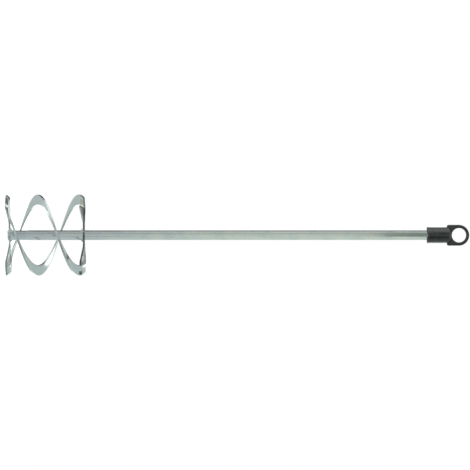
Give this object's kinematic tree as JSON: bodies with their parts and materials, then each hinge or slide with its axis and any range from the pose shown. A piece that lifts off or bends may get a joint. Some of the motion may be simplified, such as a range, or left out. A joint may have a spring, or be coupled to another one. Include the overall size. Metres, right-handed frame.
{
  "type": "drill paint mixer",
  "caption": "Drill paint mixer: hexagonal steel shank, open head of helical strip flights welded between straps, and a pull-off plastic cap with a hanging eye.",
  "frame": {"origin": "on the shank's axis, at the lowest point of the mixing head", "axes": "+Z along the shank, from the head towards the cap; the cap's eye is pierced along Y"},
  "size_m": [0.091, 0.091, 0.52],
  "materials": {
    "zinc_plated_bar": "satin",
    "zinc_plated_strip": "satin",
    "weld_bead": "rough",
    "black_plastic": "satin"
  },
  "bodies": {
    "mixer": {"hex_shank": "zinc_plated_bar", "lower_strap": "zinc_plated_strip", "upper_strap": "zinc_plated_strip", "front_flight": "zinc_plated_strip", "rear_flight": "zinc_plated_strip", "lower_front_hub_weld": "weld_bead", "lower_front_corner_weld": "weld_bead", "lower_rear_hub_weld": "weld_bead", "lower_rear_corner_weld": "weld_bead", "upper_front_hub_weld": "weld_bead", "upper_front_corner_weld": "weld_bead", "upper_rear_hub_weld": "weld_bead", "upper_rear_corner_weld": "weld_bead"},
    "cap": {"hanging_cap": "black_plastic"}
  },
  "joints": [
    {"name": "cap_pull", "type": "slide", "parent": "mixer", "child": "cap", "axis": [0, 0, 1], "range_m": [0, 0.04]}
  ]
}
